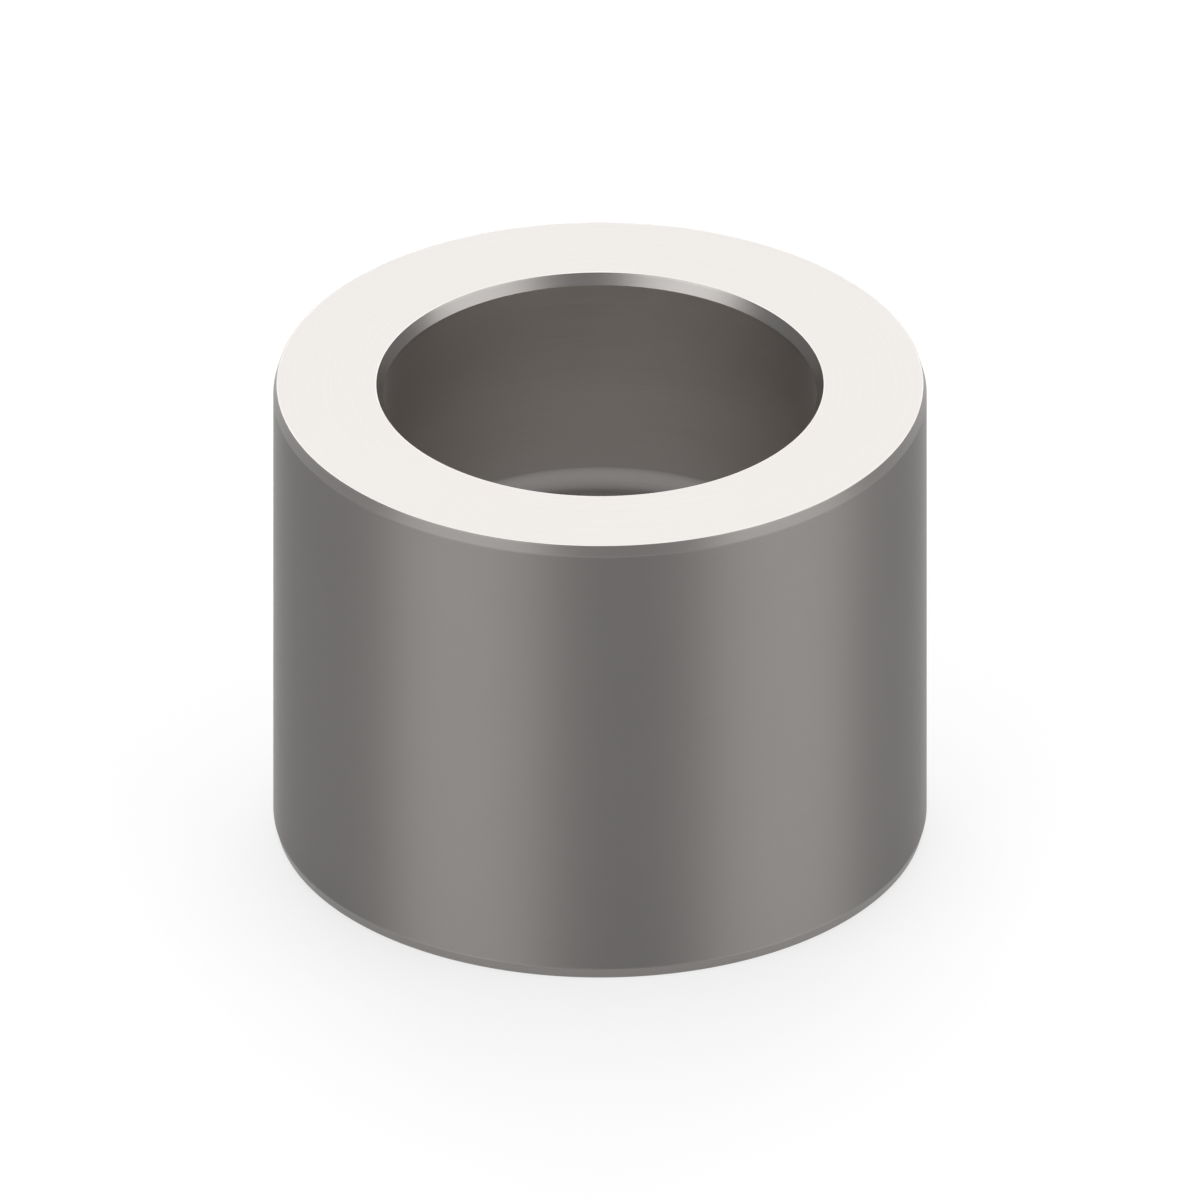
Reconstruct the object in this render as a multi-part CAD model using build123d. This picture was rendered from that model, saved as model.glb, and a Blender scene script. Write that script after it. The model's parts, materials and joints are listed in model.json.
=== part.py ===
from build123d import *
import os

# Steel bushing, turned from one bar. Millimetres, +Z up along the bore's axis.
# The origin is the centre of the bottom face, so the bushing stands on the plane Z = 0.

# The sleeve
bore_diameter = 20.0
wall_thickness = 5.08
length = 23.0

# The straight land of the bore, from the top face down to the start of the shoulder
land_depth = 10.2

# The shoulder, where the bore opens out below its land
shoulder_radius = 2.3
relief_corner_radius = 0.4

# The shallow lead chamfer round the outside of each end, which guides a press fit
lead_width = 0.14
lead_height = 0.5

# The chamfer round each mouth of the bore
mouth_width = 0.32
mouth_height = 0.5

bore_radius = bore_diameter / 2
outside_radius = bore_radius + wall_thickness
relief_radius = bore_radius + shoulder_radius + relief_corner_radius
land_end = length - land_depth
shoulder_base = land_end - shoulder_radius
relief_top = shoulder_base - relief_corner_radius


def outside_line():
    """The outside of the section: from the bottom face, up the wall, to the top face."""
    return Polyline(
        (outside_radius - lead_width, 0),
        (outside_radius, lead_height),
        (outside_radius, length - lead_height),
        (outside_radius - lead_width, length),
    )


def land_line():
    """The top mouth and the straight land below it."""
    return Polyline(
        (bore_radius + mouth_width, length),
        (bore_radius, length - mouth_height),
        (bore_radius, land_end),
    )


def shoulder_line():
    """The convex rounding that leaves the land tangent to it, and the small hollow corner under it."""
    rounding = CenterArc((bore_radius + shoulder_radius, land_end), shoulder_radius, 180, 90)
    corner = CenterArc((rounding @ 1) - (0, relief_corner_radius), relief_corner_radius, 90, -90)
    return [rounding, corner]


def relief_line():
    """The wider relief bore, down to its mouth in the bottom face."""
    return Polyline(
        (relief_radius, relief_top),
        (relief_radius, mouth_height),
        (relief_radius + mouth_width, 0),
    )


def end_faces():
    """The flat ring of the top face and the narrower one of the bottom face."""
    top = Line((outside_radius - lead_width, length), (bore_radius + mouth_width, length))
    bottom = Line((relief_radius + mouth_width, 0), (outside_radius - lead_width, 0))
    return [top, bottom]


def make_bushing():
    """Half the bushing's section, on the plane of X and Z, turned once round the axis."""
    section = [outside_line(), land_line(), *shoulder_line(), relief_line(), *end_faces()]
    return revolve(Plane.XZ * make_face(Curve() + section), Axis.Z)


os.makedirs("parts", exist_ok=True)
export_step(make_bushing(), "parts/bushing.step")
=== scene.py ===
import json
import math

import bpy
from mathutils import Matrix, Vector


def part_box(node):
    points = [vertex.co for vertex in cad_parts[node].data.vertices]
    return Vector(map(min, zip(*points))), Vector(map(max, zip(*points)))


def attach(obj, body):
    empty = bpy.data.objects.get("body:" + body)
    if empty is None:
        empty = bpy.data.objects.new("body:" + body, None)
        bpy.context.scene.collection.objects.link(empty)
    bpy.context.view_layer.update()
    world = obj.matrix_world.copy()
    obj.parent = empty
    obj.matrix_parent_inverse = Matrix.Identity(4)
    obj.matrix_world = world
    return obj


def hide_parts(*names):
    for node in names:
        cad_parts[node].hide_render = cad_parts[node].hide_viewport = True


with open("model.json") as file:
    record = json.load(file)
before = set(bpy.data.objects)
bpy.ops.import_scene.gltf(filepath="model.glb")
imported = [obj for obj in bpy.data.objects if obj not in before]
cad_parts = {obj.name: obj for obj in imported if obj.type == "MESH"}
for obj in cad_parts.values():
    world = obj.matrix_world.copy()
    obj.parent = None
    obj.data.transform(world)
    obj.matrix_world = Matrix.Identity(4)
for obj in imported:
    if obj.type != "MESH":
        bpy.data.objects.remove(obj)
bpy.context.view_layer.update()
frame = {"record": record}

# Steel bushing: a turned sleeve, ground outside, lapped on its ends and bored inside.
# Metres, +Z up along the bore's axis, with the bottom face on the plane Z = 0.

MM = 0.001

# Sizes that the frame holds
mounts = {mount["name"]: mount for mount in frame["record"]["mounts"]}
OUTSIDE_RADIUS = mounts["outside"]["dims"]["r_mm"] * MM
BORE_RADIUS = mounts["bore"]["dims"]["r_mm"] * MM
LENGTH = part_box("bushing")[1].z

# The chamfers of the ends
LEAD_WIDTH = 0.14 * MM
LEAD_HEIGHT = 0.5 * MM
MOUTH_WIDTH = 0.32 * MM
MOUTH_HEIGHT = 0.5 * MM

# The inside, below the straight land
LAND_DEPTH = 10.2 * MM
SHOULDER_RADIUS = 2.3 * MM
RELIEF_CORNER_RADIUS = 0.4 * MM
RELIEF_RADIUS = BORE_RADIUS + SHOULDER_RADIUS + RELIEF_CORNER_RADIUS
LAND_END = LENGTH - LAND_DEPTH
SHOULDER_BASE = LAND_END - SHOULDER_RADIUS

# How finely the round forms are drawn, and the bevel profile that is an arc
SEGMENTS = 256
SHOULDER_STEPS = 24
CORNER_STEPS = 8
ARC_PROFILE = 0.5

# The edge left by a light stoning, too small to see as a chamfer, and how sharp an edge has to be to get it
EDGE_BREAK = 0.02 * MM
EDGE_BREAK_STEPS = 3
SHARP_ANGLE = math.radians(9)

# How near a point has to be to count as on a corner of the section
NEAR = 0.001 * MM


# The sleeve

def section_corners():
    """The corners of half the section as (radius, height), from the bottom face round to its mouth."""
    return [
        (OUTSIDE_RADIUS - LEAD_WIDTH, 0),
        (OUTSIDE_RADIUS, LEAD_HEIGHT),
        (OUTSIDE_RADIUS, LENGTH - LEAD_HEIGHT),
        (OUTSIDE_RADIUS - LEAD_WIDTH, LENGTH),
        (BORE_RADIUS + MOUTH_WIDTH, LENGTH),
        (BORE_RADIUS, LENGTH - MOUTH_HEIGHT),
        (BORE_RADIUS, SHOULDER_BASE),
        (RELIEF_RADIUS, SHOULDER_BASE),
        (RELIEF_RADIUS, MOUTH_HEIGHT),
        (RELIEF_RADIUS + MOUTH_WIDTH, 0),
    ]


def draw_ring_on(last, corner):
    """Extrudes the selected ring of edges from one corner of the section to the next."""
    bpy.ops.mesh.extrude_edges_move(TRANSFORM_OT_translate={"value": (0, 0, corner[1] - last[1])})
    growth = corner[0] / last[0]
    bpy.ops.transform.resize(value=(growth, growth, 1), center_override=(0, 0, 0))


def pick_ring(mesh, radius, height):
    """Selects the ring of edges at one corner of the section, and nothing else."""
    on_ring = [
        abs(math.hypot(point.co.x, point.co.y) - radius) < NEAR and abs(point.co.z - height) < NEAR
        for point in mesh.vertices
    ]
    mesh.polygons.foreach_set("select", [False] * len(mesh.polygons))
    mesh.vertices.foreach_set("select", on_ring)
    for edge in mesh.edges:
        edge.select = on_ring[edge.vertices[0]] and on_ring[edge.vertices[1]]


def round_selected_edges(size, steps):
    """Rounds the selected edges, in edit mode."""
    bpy.ops.mesh.bevel(
        offset=size, offset_type="OFFSET", segments=steps, profile=ARC_PROFILE, affect="EDGES"
    )


def round_corner(piece, radius, height, size, steps):
    """Rounds the ring at one corner of the section."""
    pick_ring(piece.data, radius, height)
    bpy.ops.object.mode_set(mode="EDIT")
    round_selected_edges(size, steps)
    bpy.ops.object.mode_set(mode="OBJECT")


def break_sharp_edges():
    """Takes the sharpness off every edge that is left."""
    bpy.ops.object.mode_set(mode="EDIT")
    bpy.ops.mesh.select_all(action="SELECT")
    bpy.ops.mesh.remove_doubles(threshold=NEAR)
    bpy.ops.mesh.select_all(action="DESELECT")
    bpy.ops.mesh.edges_select_sharp(sharpness=SHARP_ANGLE)
    round_selected_edges(EDGE_BREAK, EDGE_BREAK_STEPS)
    bpy.ops.object.mode_set(mode="OBJECT")


def resize_mesh(piece, growth):
    """Makes the mesh itself larger or smaller round the origin."""
    piece.scale = (growth, growth, growth)
    bpy.ops.object.transform_apply(location=False, rotation=False, scale=True)


def shade_by_large_faces(piece):
    """Shades the sleeve smooth, with each large face true right up to its broken edges.

    The faces are weighed in millimetres, because in metres the smallest are too small to tell apart.
    """
    bpy.ops.object.shade_smooth()
    resize_mesh(piece, 1 / MM)
    bpy.ops.object.modifier_add(type="WEIGHTED_NORMAL")
    bpy.ops.object.modifier_apply(modifier=piece.modifiers[0].name)
    resize_mesh(piece, MM)


def model_sleeve():
    """The whole sleeve: one ring of edges drawn round the section, closed, rounded and smoothed."""
    corners = section_corners()
    bpy.ops.object.select_all(action="DESELECT")
    bpy.ops.mesh.primitive_circle_add(vertices=SEGMENTS, radius=corners[0][0], fill_type="NOTHING")
    piece = bpy.context.object
    piece.name = "turned_sleeve"
    piece.data.name = "turned_sleeve"
    bpy.context.tool_settings.mesh_select_mode = (False, True, False)

    bpy.ops.object.mode_set(mode="EDIT")
    for last, corner in zip(corners, corners[1:]):
        draw_ring_on(last, corner)
    bpy.ops.mesh.select_all(action="DESELECT")
    bpy.ops.mesh.select_non_manifold()
    bpy.ops.mesh.bridge_edge_loops()
    bpy.ops.mesh.select_all(action="SELECT")
    bpy.ops.mesh.normals_make_consistent(inside=False)
    bpy.ops.object.mode_set(mode="OBJECT")

    round_corner(piece, BORE_RADIUS, SHOULDER_BASE, SHOULDER_RADIUS, SHOULDER_STEPS)
    round_corner(piece, RELIEF_RADIUS, SHOULDER_BASE, RELIEF_CORNER_RADIUS, CORNER_STEPS)
    break_sharp_edges()
    shade_by_large_faces(piece)
    return piece


# Node helpers

FLOAT, VECTOR = "NodeSocketFloat", "NodeSocketVector"

# A Mix node has sockets for each type of data: those of its two inputs, and that of its result
MIX_SOCKETS = {"FLOAT": (2, 3, 0), "RGBA": (6, 7, 2)}

# The middle of what a Noise node gives
NOISE_MIDDLE = 0.5


def add_node(tree, kind, inputs=None, **settings):
    """Adds a node. Each input is given a socket to link from or a value."""
    node = tree.nodes.new(kind)
    for name, value in settings.items():
        setattr(node, name, value)
    for name, value in (inputs or {}).items():
        if isinstance(value, bpy.types.NodeSocket):
            tree.links.new(value, node.inputs[name])
        else:
            node.inputs[name].default_value = value
    return node


def add_math(tree, operation, first, second=0.0, clamp=False):
    """Adds a Math node and returns its result."""
    inputs = {0: first, 1: second}
    return add_node(tree, "ShaderNodeMath", inputs, operation=operation, use_clamp=clamp).outputs[0]


def add_vector_math(tree, operation, inputs):
    """Adds a Vector Math node and returns its outputs."""
    return add_node(tree, "ShaderNodeVectorMath", inputs, operation=operation).outputs


def add_mix(tree, data_type, factor, first, second, **settings):
    """Adds a Mix node and returns its result."""
    a, b, result = MIX_SOCKETS[data_type]
    inputs = {"Factor": factor, a: first, b: second}
    return add_node(tree, "ShaderNodeMix", inputs, data_type=data_type, **settings).outputs[result]


def add_noise(tree, place, scale, **settings):
    """Adds a Noise node and returns its value."""
    inputs = {"Vector": place, "Scale": scale, **settings}
    return add_node(tree, "ShaderNodeTexNoise", inputs).outputs["Fac"]


def new_group(name, inputs, outputs):
    """Starts a shader node group. inputs and outputs map each socket's name to its type."""
    tree = bpy.data.node_groups.new(name, "ShaderNodeTree")
    for direction, sockets in (("INPUT", inputs), ("OUTPUT", outputs)):
        for label, kind in sockets.items():
            tree.interface.new_socket(label, in_out=direction, socket_type=kind)
    return tree, tree.nodes.new("NodeGroupInput").outputs, tree.nodes.new("NodeGroupOutput").inputs


def use_group(tree, group, inputs):
    """Places a node group in a material and returns its one output."""
    return add_node(tree, "ShaderNodeGroup", inputs, node_tree=group).outputs[0]


# What machining, wear and oil leave on steel, and painted shade in the bore, as node groups

# How often the wear along an edge comes and goes in a metre
WEAR_SCALE = 900.0


def add_way_from_axis(tree, position):
    """The way from the axis straight out to a point."""
    return add_vector_math(tree, "MULTIPLY", {0: position, 1: (1, 1, 0)})[0]


def add_travel(tree, position, facing):
    """The way the tool travelled over a point: its height on a round wall, its radius on a flat face."""
    radius = add_vector_math(tree, "LENGTH", {0: add_way_from_axis(tree, position)})["Value"]
    height = add_node(tree, "ShaderNodeSeparateXYZ", {0: position}).outputs["Z"]
    return add_mix(tree, "FLOAT", facing, height, radius)


def machining_lines_group():
    """Fine lines round the axis, as a wheel or tool leaves them, each fading along its length."""
    tree, given, out = new_group(
        "machining_lines",
        {"Position": VECTOR, "Facing": FLOAT, "Spacing": FLOAT, "Reach": FLOAT},
        {"Lines": FLOAT},
    )
    travel = add_travel(tree, given["Position"], given["Facing"])
    across = add_math(tree, "DIVIDE", travel, given["Spacing"])
    around = add_vector_math(tree, "NORMALIZE", {0: add_way_from_axis(tree, given["Position"])})[0]
    around = add_vector_math(tree, "SCALE", {0: around, "Scale": given["Reach"]})[0]
    split = add_node(tree, "ShaderNodeSeparateXYZ", {0: around}).outputs
    place = add_node(tree, "ShaderNodeCombineXYZ", {"X": split["X"], "Y": split["Y"], "Z": across}).outputs[0]
    lines = add_noise(tree, place, 1.0, Detail=3.0, Roughness=0.6, Lacunarity=2.3)
    tree.links.new(lines, out["Lines"])
    return tree


def burnished_edges_group():
    """A mask that is 1 on two edges of a surface and fades away from them, unevenly."""
    tree, given, out = new_group(
        "burnished_edges",
        {"Position": VECTOR, "Facing": FLOAT, "First Edge": FLOAT, "Last Edge": FLOAT, "Width": FLOAT},
        {"Mask": FLOAT},
    )
    travel = add_travel(tree, given["Position"], given["Facing"])
    gaps = []
    for edge in ("First Edge", "Last Edge"):
        gaps.append(add_math(tree, "ABSOLUTE", add_math(tree, "SUBTRACT", travel, given[edge])))
    nearest = add_math(tree, "MINIMUM", *gaps)
    unevenness = add_noise(tree, given["Position"], WEAR_SCALE, Detail=2.0)
    reach = add_math(tree, "MULTIPLY", given["Width"], unevenness)
    reach = add_math(tree, "MULTIPLY", reach, 1 / NOISE_MIDDLE)
    fade = add_math(tree, "SUBTRACT", 1.0, add_math(tree, "DIVIDE", nearest, reach), clamp=True)
    tree.links.new(add_math(tree, "MULTIPLY", fade, fade), out["Mask"])
    return tree


def oil_film_group():
    """The uneven trace of a wiped oil film: large soft patches with a little mottle in them."""
    tree, given, out = new_group(
        "oil_film", {"Position": VECTOR, "Patch Size": FLOAT}, {"Film": FLOAT}
    )
    scale = add_math(tree, "DIVIDE", 1.0, given["Patch Size"])
    film = add_noise(tree, given["Position"], scale, Detail=4.0, Roughness=0.55, Distortion=0.6)
    tree.links.new(film, out["Film"])
    return tree


def painted_bore_shade_group():
    """Painted shade: the share of a surface's brightness that is left near a line round it."""
    tree, given, out = new_group(
        "painted_bore_shade",
        {"Position": VECTOR, "Line": FLOAT, "Full Shade": FLOAT, "Reach": FLOAT, "Darkest": FLOAT},
        {"Share": FLOAT},
    )
    height = add_node(tree, "ShaderNodeSeparateXYZ", {"Vector": given["Position"]}).outputs["Z"]
    away = add_math(tree, "ABSOLUTE", add_math(tree, "SUBTRACT", height, given["Line"]))
    share = add_node(
        tree, "ShaderNodeMapRange",
        {
            "Value": away,
            "From Min": given["Full Shade"],
            "From Max": given["Reach"],
            "To Min": given["Darkest"],
            "To Max": 1.0,
        },
    )
    tree.links.new(share.outputs["Result"], out["Share"])
    return tree


MACHINING_LINES = machining_lines_group()
BURNISHED_EDGES = burnished_edges_group()
OIL_FILM = oil_film_group()
# Painted shade in the bore
PAINTED_BORE_SHADE = painted_bore_shade_group()


# The finishes

# Red, green and blue of each steel, for a brightness of 1
BRIGHT_STEEL = (1.045, 1.0, 0.967)
OILED_STEEL = (1.070, 1.0, 0.950)

# How wide the burnished stretch along an edge is, and how large a patch of wiped oil
WEAR_WIDTH = 0.12 * MM
OIL_PATCH = 5 * MM

# What the lines, the oil film and the burnished edges each say in the steel's tone, and how far that tone
# takes its brightness up and down
TONE_OF_LINES = 0.7
TONE_OF_FILM = 0.3
TONE_OF_EDGES = 0.5
TONE_SPREAD = 0.10

# How far the lines and the oil film change the roughness, and how far the burnished edges bring it down
ROUGHNESS_OF_LINES = 0.10
ROUGHNESS_OF_FILM = 0.06
POLISH_OF_EDGES = 0.10

# The turn of the sheen that draws it out along the axis, or round it
ALONG_AXIS = 0.25
ROUND_AXIS = 0

# Painted shade in the bore, darkest near a line round it: the height of that line, how far from it the
# shade is darkest and how far it still shows, and the share of the steel's brightness that it leaves
LAND_PAINTED_SHADE = {"Line": LAND_END, "Full Shade": 0, "Reach": 4.0 * MM, "Darkest": 0.82}
SHOULDER_PAINTED_SHADE = {"Line": SHOULDER_BASE, "Full Shade": 1.1 * MM, "Reach": 2.2 * MM, "Darkest": 0.74}
RELIEF_PAINTED_SHADE = {"Line": SHOULDER_BASE, "Full Shade": 1.1 * MM, "Reach": 2.2 * MM, "Darkest": 0.53}

# The radius that parts the outside from the inside, and how far a face has to lean from upright to be
# part of a chamfer or of a flat end
MIDDLE_OF_WALL = (RELIEF_RADIUS + OUTSIDE_RADIUS) / 2
CHAMFER_LEAN = 0.1
FLAT_LEAN = 0.9


def tinted(tint, value):
    """A steel's colour at this linear brightness."""
    return (*(value * part for part in tint), 1)


def add_tone(tree, lines, film, worn):
    """How bright the steel is at a point, from 0 to 1."""
    tone = add_math(tree, "MULTIPLY", lines, TONE_OF_LINES)
    tone = add_math(tree, "ADD", tone, add_math(tree, "MULTIPLY", film, TONE_OF_FILM))
    return add_math(tree, "ADD", tone, add_math(tree, "MULTIPLY", worn, TONE_OF_EDGES), clamp=True)


def add_roughness(tree, lines, film, worn, roughness):
    """How rough the steel is at a point."""
    marks = add_math(tree, "SUBTRACT", lines, NOISE_MIDDLE)
    marks = add_math(tree, "MULTIPLY", marks, ROUGHNESS_OF_LINES)
    mottle = add_math(tree, "SUBTRACT", film, NOISE_MIDDLE)
    mottle = add_math(tree, "MULTIPLY", mottle, ROUGHNESS_OF_FILM)
    polish = add_math(tree, "MULTIPLY", worn, POLISH_OF_EDGES)
    uneven = add_math(tree, "SUBTRACT", add_math(tree, "ADD", marks, mottle), polish)
    return add_math(tree, "ADD", uneven, roughness)


def steel_finish(
    name, value, roughness, spacing, depth, edges, facing=0, reach=2,
    anisotropy=0, sheen_turn=ALONG_AXIS, tint=BRIGHT_STEEL, oil=None,
):
    """A bare steel surface with the marks that its machining left.

    value is its linear brightness, and tint the colour of its steel. spacing and depth are those of its
    lines, and reach is how often they come and go in a turn. edges are where its two edges lie along the
    tool's travel, and facing is 1 on a flat face and 0 on a round wall. anisotropy is how far the sheen is
    drawn out, and sheen_turn which way. oil is painted shade near a line round the bore, if it is given.
    """
    material = bpy.data.materials.new(name)
    material.use_nodes = True
    tree = material.node_tree
    shader = tree.nodes["Principled BSDF"]
    position = add_node(tree, "ShaderNodeTexCoord").outputs["Object"]

    surface = {"Position": position, "Facing": facing}
    lines = use_group(tree, MACHINING_LINES, {**surface, "Spacing": spacing, "Reach": reach})
    wear = {"First Edge": edges[0], "Last Edge": edges[1], "Width": WEAR_WIDTH}
    worn = use_group(tree, BURNISHED_EDGES, {**surface, **wear})
    film = use_group(tree, OIL_FILM, {"Position": position, "Patch Size": OIL_PATCH})

    dark = tinted(tint, value * (1 - TONE_SPREAD))
    bright = tinted(tint, value * (1 + TONE_SPREAD))
    colour = add_mix(tree, "RGBA", add_tone(tree, lines, film, worn), dark, bright)
    # Painted shade: darkens the steel near a line round the bore
    if oil:
        share = use_group(tree, PAINTED_BORE_SHADE, {"Position": position, **oil})
        colour = add_mix(tree, "RGBA", 1.0, colour, share, blend_type="MULTIPLY")
    tree.links.new(colour, shader.inputs["Base Color"])
    tree.links.new(add_roughness(tree, lines, film, worn, roughness), shader.inputs["Roughness"])

    bump = add_node(tree, "ShaderNodeBump", {"Height": lines, "Distance": depth, "Strength": 1.0})
    tree.links.new(bump.outputs["Normal"], shader.inputs["Normal"])

    shader.inputs["Metallic"].default_value = 1.0
    if anisotropy:
        shader.inputs["Anisotropic"].default_value = anisotropy
        shader.inputs["Anisotropic Rotation"].default_value = sheen_turn
        tangent = add_node(tree, "ShaderNodeTangent", direction_type="RADIAL", axis="Z")
        tree.links.new(tangent.outputs["Tangent"], shader.inputs["Tangent"])
    return material


def make_finishes():
    """Every finish of the sleeve by name."""
    wall_edges = (LEAD_HEIGHT, LENGTH - LEAD_HEIGHT)
    ring_edges = (BORE_RADIUS + MOUTH_WIDTH, OUTSIDE_RADIUS - LEAD_WIDTH)
    bore_edges = (MOUTH_HEIGHT, LENGTH - MOUTH_HEIGHT)
    ground = {"spacing": 0.06 * MM, "depth": 0.0006 * MM, "edges": wall_edges, "reach": 2.5}
    lapped = {"spacing": 0.08 * MM, "depth": 0.0005 * MM, "edges": ring_edges, "reach": 1.5, "facing": 1}
    turned = {"spacing": 0.05 * MM, "depth": 0.0003 * MM, "edges": (0, LENGTH)}
    bored = {"spacing": 0.10 * MM, "depth": 0.0008 * MM, "edges": bore_edges, "reach": 1.5}
    # Brighter steel in the bore than outside is painted light; the darker lead chamfers are painted shade
    return {
        "outside": steel_finish("ground_outside", value=0.285, roughness=0.60, anisotropy=0.9, **ground),
        "ends": steel_finish("lapped_ends", value=0.285, roughness=0.32, **lapped),
        "leads": steel_finish("turned_lead_chamfers", value=0.25, roughness=0.42, anisotropy=0.75, **turned),
        "mouths": steel_finish("turned_mouth_chamfers", value=0.285, roughness=0.36, **turned),
        "land": steel_finish(
            "bored_land", value=0.40, roughness=0.46, anisotropy=0.3, sheen_turn=ROUND_AXIS,
            tint=OILED_STEEL, oil=LAND_PAINTED_SHADE, **bored,
        ),
        "shoulder": steel_finish(
            "burnished_shoulder", value=0.35, roughness=0.40, oil=SHOULDER_PAINTED_SHADE, **bored
        ),
        "relief": steel_finish(
            "bored_relief", value=0.34, roughness=0.42, tint=OILED_STEEL, oil=RELIEF_PAINTED_SHADE, **bored
        ),
    }


def finish_for(radius, height, lean):
    """The name of a face's finish, by its centre and by its lean, 0 on a wall and 1 on a flat end."""
    outer = radius > MIDDLE_OF_WALL
    near_end = height < MOUTH_HEIGHT + NEAR or height > LENGTH - MOUTH_HEIGHT - NEAR
    if near_end and lean > FLAT_LEAN:
        return "ends"
    if near_end and lean > CHAMFER_LEAN:
        return "leads" if outer else "mouths"
    if outer:
        return "outside"
    if height > LAND_END - NEAR:
        return "land"
    return "shoulder" if height > SHOULDER_BASE - NEAR else "relief"


def finish_sleeve(piece):
    """Gives each surface of the sleeve its own finish."""
    finishes = make_finishes()
    for material in finishes.values():
        piece.data.materials.append(material)
    order = list(finishes)
    for face in piece.data.polygons:
        radius = math.hypot(face.center.x, face.center.y)
        face.material_index = order.index(finish_for(radius, face.center.z, abs(face.normal.z)))


sleeve = model_sleeve()
finish_sleeve(sleeve)
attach(sleeve, "root")
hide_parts("bushing")


# The studio

CENTRE = Vector((0, 0, LENGTH / 2))
LAMP_DISTANCE = 0.5
ROOM_LIGHT = 0.36

# The floor, how far it lies below the bottom face, how white it is where it is lit, and how much of it
# the camera and the steel see as its own white instead
FLOOR_SIZE = 8
FLOOR_GAP = 0.01 * MM
FLOOR_VALUE = 0.85
FLOOR_GLOW = 0.65

# The camera's view without perspective, and the bushing's size in the photograph, in its pixels
CAMERA_ELEVATION = 30
CAMERA_DISTANCE = 0.3
NEAREST_SEEN = 0.001
FARTHEST_SEEN = 20
IMAGE_WIDTH = 1200
OUTSIDE_RADIUS_IN_IMAGE = 326.78


def towards(azimuth, elevation):
    """The way from the bushing to a place in the studio. Azimuth 0 is in front, and grows to the right."""
    a = math.radians(azimuth)
    e = math.radians(elevation)
    return Vector((math.sin(a) * math.cos(e), -math.cos(a) * math.cos(e), math.sin(e)))


def set_up(name, data, direction, distance):
    """Puts a lamp or camera, which looks along its own -Z, in the studio, looking at the bushing."""
    thing = bpy.data.objects.new(name, data)
    bpy.context.scene.collection.objects.link(thing)
    thing.location = CENTRE + direction * distance
    thing.rotation_euler = (-direction).to_track_quat("-Z", "Y").to_euler()
    return thing


def add_soft_lamp(name, azimuth, elevation, width, height, radiance):
    """A soft box that looks as bright as a white surface times its radiance."""
    light = bpy.data.lights.new(name, "AREA")
    light.shape = "RECTANGLE"
    light.size = width
    light.size_y = height
    light.energy = radiance * math.pi * width * height
    lamp = set_up(name, light, towards(azimuth, elevation), LAMP_DISTANCE)
    lamp.visible_camera = False


def add_floor():
    """A plain white floor. The camera, the steel and clear things see part of it as its own white."""
    bpy.ops.object.select_all(action="DESELECT")
    bpy.ops.mesh.primitive_plane_add(size=FLOOR_SIZE, location=(0, 0, -FLOOR_GAP))
    floor = bpy.context.object
    floor.name = "floor"
    material = bpy.data.materials.new("white_floor")
    material.use_nodes = True
    tree = material.node_tree
    tree.nodes.clear()
    lit = add_node(tree, "ShaderNodeBsdfDiffuse", {"Color": (FLOOR_VALUE, FLOOR_VALUE, FLOOR_VALUE, 1)})
    own = add_node(tree, "ShaderNodeEmission", {"Strength": 1.0})
    rays = add_node(tree, "ShaderNodeLightPath").outputs
    seen = add_math(tree, "ADD", rays["Is Camera Ray"], rays["Is Glossy Ray"])
    seen = add_math(tree, "ADD", seen, rays["Is Transmission Ray"], clamp=True)
    share = add_math(tree, "MULTIPLY", seen, FLOOR_GLOW)
    mix = add_node(tree, "ShaderNodeMixShader", {0: share, 1: lit.outputs[0], 2: own.outputs[0]})
    output = add_node(tree, "ShaderNodeOutputMaterial", {"Surface": mix.outputs[0]})
    output.is_active_output = True
    floor.data.materials.append(material)


def add_room_light():
    """The even light of the room, white from all sides."""
    world = bpy.data.worlds.new("studio")
    bpy.context.scene.world = world
    world.use_nodes = True
    background = world.node_tree.nodes["Background"]
    background.inputs["Color"].default_value = (1, 1, 1, 1)
    background.inputs["Strength"].default_value = ROOM_LIGHT


def add_camera():
    """The camera, which sees the bushing as large as it is in the photograph."""
    camera = bpy.data.cameras.new("camera")
    camera.type = "ORTHO"
    camera.ortho_scale = OUTSIDE_RADIUS * IMAGE_WIDTH / OUTSIDE_RADIUS_IN_IMAGE
    camera.clip_start = NEAREST_SEEN
    camera.clip_end = FARTHEST_SEEN
    bpy.context.scene.camera = set_up("camera", camera, towards(0, CAMERA_ELEVATION), CAMERA_DISTANCE)


bpy.context.scene.view_settings.view_transform = "Standard"
add_room_light()
add_soft_lamp("left_lamp", azimuth=-45, elevation=24, width=0.50, height=0.40, radiance=1.51)
add_soft_lamp("high_left_lamp", azimuth=-50, elevation=34, width=0.40, height=0.24, radiance=0.82)
add_soft_lamp("right_lamp", azimuth=65, elevation=24, width=0.50, height=0.40, radiance=1.87)
add_soft_lamp("back_lamp", azimuth=180, elevation=36, width=0.40, height=0.30, radiance=2.84)
add_soft_lamp("overhead_lamp", azimuth=180, elevation=75, width=0.50, height=0.40, radiance=2.35)
add_floor()
add_camera()
